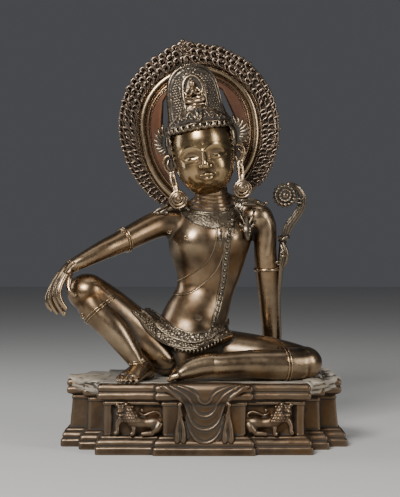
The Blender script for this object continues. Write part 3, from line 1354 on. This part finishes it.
limb(bm, [
    (110, 15, 286, 1.6), (112.5, 11.6, 279, 1.6), (116, 10.4, 271.5, 1.5), (113.8, 10, 266.8, 1.4),
    (109.4, 10.4, 268.4, 1.3),
])
scroll(bm, (112.2, 10, 271.4), (1, 0, 0), (0, 0, 1), 4.2, 1.4, 0.32)
scroll(bm, (107, 12, 258), (-1, 0, 0), (0, 0, 1), 3.6, 1.2, 0.34)
limb(bm, [(140, 9, 350, 2.2), (135, 6, 351.5, 1.9), (130.5, 4, 350.5, 0.9)], around=10)
limb(bm, [(140, 9, 345, 2.2), (134, 6, 345.5, 1.9), (129, 4, 347.5, 0.9)], around=10)

# %% Lotus flower
for y, half, deep, around, rings in ((9, 16, 6.4, 32, 12), (3.4, 10.6, 3, 28, 10), (1.2, 4.6, 2.6, 20, 12)):
    ball(bm, (FLOWER[0], y, FLOWER[2]), (half, deep, half), around, rings)
for i in range(12):
    a = math.pi * i / 6
    ball(bm, (FLOWER[0] + 8.4 * math.sin(a), 1.2, FLOWER[2] + 8.4 * math.cos(a)), (1.85, 1.9, 1.85), 12, 8)
petals(bm, 16, 11.2, 3.4, 5.2, 2.3)
petals(bm, 16, 13.4, 6.2, 5.0, 2.3, 0.5)
lotus_mesh = fused(bm, 0.95, 1)
print("lotus:", len(lotus_mesh.polygons), "faces")


# %% [markdown]
# Cloth and jewellery on the body
#
# A short wrap lies round the hips like an apron, with a second band over it, chased with leaves, edged with
# beading and hung with small tassels. It could be drawn on the body with a bump, but its edge stands up
# from the skin. So each band is a grid between two edge lines, laid on the body and given a thickness.

# %% Wrap
body_tree = tree_of(body_mesh)
HEM = [
    (-99, -10, 192), (-90, -34, 182), (-80, -42, 167), (-66, -44, 154), (-48, -46, 145), (-27, -51, 140),
    (-5.6, -53, 142.5), (14, -45, 151), (27, -36, 156), (37, -22, 159),
]
BAND_EDGE = [
    (-88, 0, 194), (-76, -22, 183), (-66, -36, 171), (-54, -42, 161), (-39, -48, 154), (-18, -51.5, 149),
    (2, -50, 152), (16, -42, 159), (27, -30, 163), (34, -14, 165),
]
BELLY_EDGE = [
    (-79, 6, 193), (-65, -10, 185), (-54, -26, 178), (-44, -36, 171), (-32, -41, 165), (-15, -46, 161),
    (4, -43, 164), (14, -36, 169.6), (24, -27, 173), (32, -14, 174),
]


def foliage(place, cell, height, rim=0.06):
    """Chased relief all over a sheet: small leaves round scattered points, and a plain raised rim."""
    def relief(along, across):
        near = np.array([noise.voronoi(Vector(p))[0][:2] for p in place(along, across) / cell])
        leaf = np.clip(2.4 * (near[:, 1] - near[:, 0]), 0, 1) ** 0.7 - 0.8 * np.exp(-(near[:, 0] / 0.2) ** 2)
        return height * np.where(np.minimum(across, 1 - across) < rim, 0.9, leaf)
    return relief


STAND_OFF = 5.0                  # how far the wrap may stand off the body


def draped(points, lift):
    """Points brought forward where the body would hide them, and drawn in where they stand off too far."""
    for p in points:
        skin = front_hit(body_tree, p[0], p[2])
        if skin:
            p[1] = min(p[1], skin.y - lift)
        near, _, _, gap = body_tree.find_nearest(Vector(p))
        if gap > STAND_OFF + lift:
            p += (np.array(near) - p) * (1 - (STAND_OFF + lift) / gap)
    return points


def shifted(line, out, up=0.0):
    """A line of points brought forward and raised."""
    return [(x, y - out, z + up) for x, y, z in line]


def chased_band(edges, rows, lift):
    """A band of the wrap between two edge lines."""
    def place(along, across):
        return draped(between(edges)(along, across), lift)

    bm = bmesh.new()
    sheet(bm, 220, rows, place, foliage(place, 4.2, 1.0))
    return layer(bm, 1.1)


lower_band = chased_band([HEM, BAND_EDGE], 30, 1.0)
upper_band = chased_band([shifted(BAND_EDGE, 2.2), shifted(BELLY_EDGE, 1.2)], 24, 2.0)
print("wrap bands:", len(lower_band.polygons), "and", len(upper_band.polygons), "faces")

# %% The wrap's edges and tassels
EDGINGS = (  # line, half width, how far forward and up it lies
    (HEM, 1.3, 0.6, -0.4), (HEM, 0.9, 2.8, 2.2), (BAND_EDGE, 1.0, 3.8, 0.4), (BELLY_EDGE, 1.5, 2.6, 0.6),
)
TASSELS = [(-40, -47, 139), (-26, -52, 137), (-8, -54.5, 137.6), (8, -52, 144), (24, -44, 152)]
bm = bmesh.new()
for line, wide, out, up in EDGINGS:
    path = draped(even(rows_along(shifted(line, out, up), 200), 1.2), out + 0.8)
    strap(bm, path, np.tile((0.0, -1.0, 0.2), (len(path), 1)), wide, wide, 10)
for p in even(rows_along(TASSELS, 60), 5.4):
    ball(bm, p, (1.7, 1.6, 3.1), 10, 8)
wrap_mesh = together(lower_band, upper_band, to_mesh(bm))
print("wrap with its edges:", len(wrap_mesh.polygons), "faces")

# %% [markdown]
# Shawl, collar and string
#
# A thin shawl crosses the chest, a broad collar lies on the shoulders, and a string of beads runs from the
# left shoulder to the belt. The body's skin is smooth here, so these grids and paths are laid on the
# nearest skin without draping. The beads are icospheres with few faces, because there are many of them.

# %% Shawl
SHAWL_UPPER = [
    (24, 0, 338), (17, -18, 308.4), (14, -22.5, 281), (2, -18.6, 259.5), (-27.6, -3.5, 239), (-41.5, 4, 235),
    (-38, 40, 236), (-5, 54, 262), (40, 50, 305), (58, 34, 334),
]
SHAWL_LOWER = [
    (44, 4, 338), (35, -20, 308), (30, -22, 285), (24, -18, 260), (9.5, -13.8, 238), (-17.6, -12, 217),
    (-38, 4, 211), (-34, 44, 213), (4, 54, 238), (52, 48, 285),
]
bm = bmesh.new()
shawl_place = on_skin(body_tree, between([SHAWL_UPPER, SHAWL_LOWER]), 0.15)
sheet(bm, 180, 26, shawl_place, lambda along, across: 0.8 * (np.minimum(across, 1 - across) < 0.045))
shawl_mesh = layer(bm, 0.35)
print("shawl:", len(shawl_mesh.polygons), "faces")

# %% Collar
COLLAR_TOP = [
    (-30, 24, 345), (-26, 7, 340), (-14, -7, 334.5), (9, -12, 331.5), (31, -5, 335), (43, 12, 343),
    (46, 28, 349),
]
COLLAR_FOOT = [
    (-40, 22, 334), (-32, 0, 330), (-16, -14, 318), (8, -20, 310), (28, -18, 312.5), (46, -8, 325),
    (60, 26, 342),
]
bm = bmesh.new()
collar_place = on_skin(body_tree, between([COLLAR_TOP, COLLAR_FOOT]), 0.5)
sheet(bm, 210, 40, collar_place, foliage(collar_place, 2.9, 0.5, 0.05))
collar_mesh = layer(bm, 0.6)
print("collar:", len(collar_mesh.polygons), "faces")

# %% Beads of the collar and the string
bm = bmesh.new()
for line, radius, down in ((COLLAR_TOP, 1.2, 0), (COLLAR_TOP, 0.9, 3), (COLLAR_FOOT, 1.0, 0)):
    path, normals = laid(body_tree, shifted(line, 0, -down), 1.0, 1.0)
    strap(bm, path, normals, radius, radius, 10)
path, normals = laid(body_tree, COLLAR_FOOT, 1.0, 0.8)
beads(bm, path + [0, 0, -2], 1.25, 3.2)

STRING = [
    (43, -16, 326), (40, -24, 314), (35, -28, 298), (33.5, -27, 279), (32.5, -21, 254), (30.4, -16.4, 230),
    (25.5, -16.4, 207), (22, -22, 190), (17, -34, 173),
]
path, normals = laid(body_tree, STRING, 1.0, 0.4)
strap(bm, path, normals, (5.4, 5.2, 4.4, 3.2, 2.8), 0.7)
across = unit(np.cross(np.gradient(path, axis=0), normals))
reach = np.interp(np.linspace(0, 1, len(path)), (0, 0.5, 1), (5.6, 4.6, 2.9))[:, None]
for s in (-1, 1):
    strap(bm, path + s * reach * across + 0.4 * normals, normals, 0.7, 0.9)
spots = even(path, 4.3)
for i, p in enumerate(spots):
    size = np.interp(i / len(spots), (0, 0.5, 1), (3.3, 2.8, 2.2)) * (1, 0.42)[i % 2]
    found = body_tree.find_nearest(Vector(p))
    place = Matrix.Translation(found[0] + 1.2 * found[1])
    bmesh.ops.create_icosphere(bm, subdivisions=2, radius=size, matrix=place)
tab, normals = laid(body_tree, [(22, -24, 309), (22.4, -24, 301), (23, -24, 289), (23, -24, 280)], 1.0, 0.7)
strap(bm, tab, normals, (3.2, 4.2, 4.2, 3.6, 0.6), 1.1, 14)
beads(bm, tab[4:-6] + 1.3 * normals[4:-6], 1.5, 6)
chest_mesh = together(collar_mesh, to_mesh(bm))
print("collar, edges and string:", len(chest_mesh.polygons), "faces")

# %% [markdown]
# Deerskin, rings and ribbons
#
# A small deer's head hangs over the left breast, double rings clasp the arms and the legs, and knotted
# ribbons lie on the shoulders. A ring could be a torus, but no limb is round. So each follows the line
# where a plane cuts the skin, found by rays from the limb's middle.

# %% Deerskin over the left shoulder
bm = bmesh.new()
limb(bm, [
    (60, 0, 326, 4, 2), (60.5, -6, 316, 5.6, 3.6), (61, -9, 308, 8, 5), (61.6, -10.5, 301, 6, 4.6),
    (62, -11, 295, 3.6, 3.6), (62, -10, 291.6, 2.4, 2.6),
])
for s in (-1, 1):
    limb(bm, [
        (61 + 5 * s, -9, 309, 1.8), (61 + 9 * s, -9, 313.5, 2.4), (61 + 10 * s, -8, 318, 0.9),
    ], around=10)
    ball(bm, (61.4 + 4.6 * s, -14, 304), (1.5, 1.5, 1.7), 10, 8)
    limb(bm, [(61.6 + 2.4 * s, -14, 299, 0.8), (62 + 1.6 * s, -14, 294.6, 0.8)], around=8)
    limb(bm, [
        (61 + 12 * s, 2, 338, 1.5, 1), (61 + 8 * s, -6, 326, 1.6, 1.2), (61 + 3 * s, -9, 314, 1.3, 1),
    ], around=10)
deer_mesh = fused(bm, 0.7, 1)
print("deerskin:", len(deer_mesh.polygons), "faces")

# %% Rings on the limbs
RINGS = [  # middle, axis, reach, and for each rim its shift along the axis and its half sizes
    ((-112, -24, 292.5), (-37, -24, -15), 20, ((-1.7, 1.3, 1.7), (1.7, 1.3, 1.7))),
    ((-183, -62, 256), (-9, -4, -8), 13, ((-1.6, 1.2, 1.7), (1.6, 1.2, 1.7))),
    ((90.5, 29, 250), (1, 3, -30), 23, ((0, 2.8, 2.4),)),
    ((-148, -56, 192), (25, -5, -28), 30, ((-1.8, 1.3, 1.8), (1.8, 1.3, 1.8))),
    ((112, -62, 120), (-28, -9, -0.5), 28, ((-2, 1.3, 1.8), (2, 1.3, 1.8))),
    ((-89, -62, 122), (0.1, 0, -1), 15, ((0, 1.4, 1.6), (-3, 0.8, 1.0))),
]
bm = bmesh.new()
for centre, axis, reach, rims in RINGS:
    along = Vector(axis).normalized()
    for shift, half, rise in rims:
        path, normals = around_limb(body_tree, Vector(centre) + shift * along, axis, reach, 76)
        strap(bm, path, normals, half, rise, 9)
STUDS = (  # place, radius
    ((-176, -75, 182), 3.6), ((-113, -42, 308), 3.0), ((-48.5, -14, 300), 3.0), ((-26, -24, 295.5), 2.9),
    ((46, -24, 303), 2.9),
)
for centre, radius in STUDS:
    found = body_tree.find_nearest(Vector(centre))
    ring(bm, found[0] + 0.3 * found[1], radius, 0.8, 8)
    ball(bm, found[0] + 0.5 * found[1], (1.5, 1.5, 1.5), 12, 8)
ring_set = to_mesh(bm)
print("rings and studs:", len(ring_set.polygons), "faces")

# %% Ribbons on the shoulders
bm = bmesh.new()
RIBBONS = [
    [(-38, 2, 341), (-46, -4, 338), (-56, -8, 333), (-66, -9, 329)],
    [(-36, 6, 345), (-48, 0, 343), (-60, -5, 337), (-72, -7, 330)],
    [(52, -2, 348), (64, -2, 350), (76, -2, 347), (86, -2, 341.6)],
    [(54, -8, 343), (62, -8, 344), (70, -7, 344), (77, -6, 344)],
]
for points in RIBBONS:
    limb(bm, [(*p, w, 1.2) for p, w in zip(points, (2, 3, 3, 2))], side=(0.35, 0, 1), around=14)
for x, z in ((77, 345.5), (88.6, 344.4), (-66, 330), (-53.6, 330.6)):
    ball(bm, (x, -9, z), (3.1, 3.1, 3.1), 16, 10)
ribbon_mesh = fused(bm, 0.7, 1)
print("ribbons:", len(ribbon_mesh.polygons), "faces")


# %% [markdown]
# Patina
#
# Old bronze is dark brown, rubbed to gold where hands and cloths reach it, and dull with dust in its
# hollows. Pointiness could tell high from low, but it depends on the mesh and isn't exported. The relief
# attributes do the same: what stands out is rubbed, and what lies deep is dusty. A slow noise over the
# whole object breaks both up, so that no two places wear the same. The maths is written as plain sums on
# sockets.

# %% Shader values as Python expressions
class Value:
    """A shader socket that can be reckoned with like a number."""

    def __init__(self, surface, socket):
        self.surface, self.socket = surface, socket

    def math(self, operation, *others, first=None):
        inputs = [self if first is None else first, *others]
        return self.surface.node("ShaderNodeMath", {"operation": operation}, inputs)

    def __add__(self, other):
        return self.math("ADD", other)

    def __sub__(self, other):
        return self.math("SUBTRACT", other)

    def __mul__(self, other):
        return self.math("MULTIPLY", other)

    def __rsub__(self, other):
        return self.math("SUBTRACT", self, first=other)

    __radd__ = __add__
    __rmul__ = __mul__

    def clamped(self, low=0.0, high=1.0):
        return self.math("MAXIMUM", low).math("MINIMUM", high)


class Surface:
    """A material under construction."""

    def __init__(self, name, **plain):
        self.material = bpy.data.materials.new(name)
        self.material.use_nodes = True
        self.nodes, self.links = self.material.node_tree.nodes, self.material.node_tree.links
        self.shader = self.nodes["Principled BSDF"]
        for socket, value in plain.items():
            self.shader.inputs[socket].default_value = value

    def set(self, socket, value):
        if isinstance(value, Value):
            self.links.new(value.socket, socket)
        else:
            socket.default_value = value

    def node(self, kind, settings=None, inputs=(), output=0):
        """Any node: its settings first, then its inputs by order or by name."""
        node = self.nodes.new(kind)
        for name, value in (settings or {}).items():
            setattr(node, name, value)
        for key, value in inputs.items() if isinstance(inputs, dict) else enumerate(inputs):
            self.set(node.inputs[key], value)
        return Value(self, node.outputs[output])

    def attribute(self, name):
        return self.node("ShaderNodeAttribute", {"attribute_name": name}, output="Fac")

    def noise(self, scale, detail=4.0, rough=0.55):
        place = self.node("ShaderNodeTexCoord", output="Object")
        settings = {"Vector": place, "Scale": scale, "Detail": detail, "Roughness": rough}
        return self.node("ShaderNodeTexNoise", inputs=settings)

    def mix(self, share, one, other):
        colours = {0: share, 6: one, 7: other}
        return self.node("ShaderNodeMix", {"data_type": "RGBA"}, colours, output=2)


# %% Bronze
def bronze(name, dark, mid, worn, dust, wear=1.0, dirt=1.0, gloss=0.36, metal=1.0):
    """Patinated bronze: four colours, how much it is rubbed, how dusty, how rough and how metallic it is."""
    surface = Surface(name)
    cloud = surface.noise(16.0)
    fleck = surface.noise(150.0, 3.0)
    fine, broad = surface.attribute("fine"), surface.attribute("broad")
    rubbed = (((fine * 0.6 + broad * 0.8) + (cloud - 0.46) * 1.5) * wear).clamped()
    dusty = (((fine * -1.0 + broad * -0.9) + (fleck - 0.68) * 0.7) * dirt).clamped()
    tone = ((cloud - 0.34) * 3.0).clamped()
    colour = surface.mix(tone, (*dark, 1), (*mid, 1))
    golden = tuple(a * b for a, b in zip(mid, (1.35, 1.0, 0.6)))
    colour = surface.mix(((surface.noise(10.0, 3.0) - 0.48) * 4.0).clamped() * 0.75, colour, (*golden, 1))
    colour = surface.mix(rubbed * 0.75, colour, (*worn, 1))
    colour = surface.mix(dusty, colour, (*dust, 1))
    rough = gloss + (fleck - 0.5) * 0.2 + dusty * 0.4 - rubbed * 0.08
    surface.set(surface.shader.inputs["Base Color"], colour)
    surface.set(surface.shader.inputs["Roughness"], rough.clamped(0.12, 0.95))
    surface.set(surface.shader.inputs["Metallic"], metal - dusty * 0.75 * metal)
    return surface.material


figure_bronze = bronze(
    "figure bronze", (0.06, 0.041, 0.026), (0.185, 0.13, 0.083), (0.45, 0.335, 0.215), (0.045, 0.036, 0.027),
    gloss=0.34,
)
face_bronze = bronze(
    "rubbed face bronze", (0.13, 0.084, 0.042), (0.27, 0.182, 0.09), (0.5, 0.36, 0.2), (0.05, 0.032, 0.02),
    wear=1.2, dirt=0.4, gloss=0.3,
)
crown_bronze = bronze(
    "dark hair bronze", (0.04, 0.032, 0.025), (0.082, 0.066, 0.05), (0.25, 0.2, 0.14), (0.04, 0.036, 0.032),
    wear=0.8,
)
cloth_bronze = bronze(
    "chased cloth bronze", (0.04, 0.033, 0.026), (0.078, 0.063, 0.047), (0.235, 0.19, 0.138),
    (0.026, 0.023, 0.019),
)
collar_bronze = bronze(
    "dusty collar bronze", (0.085, 0.072, 0.054), (0.13, 0.11, 0.085), (0.225, 0.19, 0.143),
    (0.078, 0.069, 0.056), wear=0.7,
)
field_bronze = bronze(
    "red halo bronze", (0.076, 0.039, 0.027), (0.125, 0.066, 0.044), (0.2, 0.118, 0.08),
    (0.045, 0.034, 0.028), wear=0.5, gloss=0.5,
)
flame_bronze = bronze(
    "flame bronze", (0.033, 0.025, 0.02), (0.064, 0.048, 0.038), (0.24, 0.185, 0.14), (0.012, 0.01, 0.008),
    wear=0.8,
)
plinth_bronze = bronze(
    "plinth bronze", (0.068, 0.047, 0.03), (0.13, 0.089, 0.056), (0.225, 0.166, 0.115),
    (0.048, 0.041, 0.033), wear=0.7, gloss=0.45,
)
seat_bronze = bronze(
    "dusty seat bronze", (0.2, 0.182, 0.155), (0.37, 0.345, 0.3), (0.45, 0.41, 0.34), (0.08, 0.07, 0.058),
    wear=0.7, gloss=0.6, metal=0.15,
)

# %% [markdown]
# Putting the pieces in the frame
#
# Nothing moves, so everything rides on one body. The body skin stands in for the figure's solid, the halo's
# plate for the halo's solid, and the moulded skin for the plinth's. The rest is laid over them. The pieces
# could be joined into three, but kept apart each can have a finish of its own.

# %% Pieces
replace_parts(piece("body", body_mesh, figure_bronze), "figure")
FIGURE_PIECES = {
    "hands": (hand_mesh, figure_bronze), "feet": (foot_mesh, figure_bronze),
    "face": (face_mesh, face_bronze), "ears": (ear_mesh, figure_bronze), "hair": (hair_mesh, crown_bronze),
    "crown": (crown_mesh, crown_bronze), "brim": (brim_mesh, crown_bronze),
    "lotus": (lotus_mesh, cloth_bronze), "wrap": (wrap_mesh, cloth_bronze),
    "chest_ornaments": (chest_mesh, collar_bronze), "niche_figure": (niche_mesh, figure_bronze),
    "deerskin": (deer_mesh, cloth_bronze), "limb_rings": (ring_set, figure_bronze),
    "ribbons": (ribbon_mesh, cloth_bronze), "shawl": (shawl_mesh, figure_bronze),
}
for name, (mesh, material) in FIGURE_PIECES.items():
    piece(name, mesh, material)
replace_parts(piece("halo_plate", field_mesh, field_bronze), "halo")
piece("halo_ring", ring_mesh, figure_bronze)
piece("halo_flames", flame_mesh, flame_bronze)
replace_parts(piece("plinth_body", plinth_mesh, plinth_bronze), "plinth")
for name, mesh in {"lions": lion_mesh, "front_cloth": cloth_mesh}.items():
    piece(name, mesh, plinth_bronze)
for name, mesh in {"seat": seat_mesh, "rocks": rock_mesh}.items():
    piece(name, mesh, seat_bronze)

# %% [markdown]
# Floor and light
#
# A plain pale floor. A soft lamp stands high in front to the left, a weaker one to the right, a long faint
# one above, and one at the left draws the edge. Metal shows its surroundings. A bright room would make it
# look pale, so the surroundings stay dim and the lamps draw the highlights.

# %% Floor and light
bm = bmesh.new()
bmesh.ops.create_grid(bm, x_segments=1, y_segments=1, size=6000)
floor = bpy.data.objects.new("floor", to_mesh(bm))
floor_surface = Surface("pale floor", Roughness=0.9)
floor_surface.shader.inputs["Base Color"].default_value = (0.62, 0.62, 0.61, 1)
floor.data.materials.append(floor_surface.material)
bpy.context.scene.collection.objects.link(floor)

world = bpy.data.worlds.new("studio")
world.use_nodes = True
world.node_tree.nodes["Background"].inputs["Color"].default_value = (0.07, 0.072, 0.078, 1)
bpy.context.scene.world = world

LAMPS = [
    ("key", (-0.75, -1.95, 1.55), 0.8, 0.6, 64, (1, 0.97, 0.93)),
    ("side", (1.7, -1.2, 0.9), 0.45, 1.2, 17, (1, 0.96, 0.91)),
    ("top", (0.1, -0.3, 1.9), 1.2, 0.6, 3, (1, 1, 1)),
    ("left_edge", (-1.6, 0.3, 0.9), 0.4, 1.4, 9, (0.95, 0.97, 1)),
]
for name, place, wide, tall, power, colour in LAMPS:
    lamp = bpy.data.lights.new(name, "AREA")
    lamp.shape, lamp.size, lamp.size_y = "RECTANGLE", wide, tall
    lamp.energy, lamp.color = power, colour
    stand_in = bpy.data.objects.new(name, lamp)
    stand_in.location = place
    stand_in.rotation_euler = (Vector((0, 0, 0.3)) - Vector(place)).to_track_quat("-Z", "Y").to_euler()
    bpy.context.scene.collection.objects.link(stand_in)
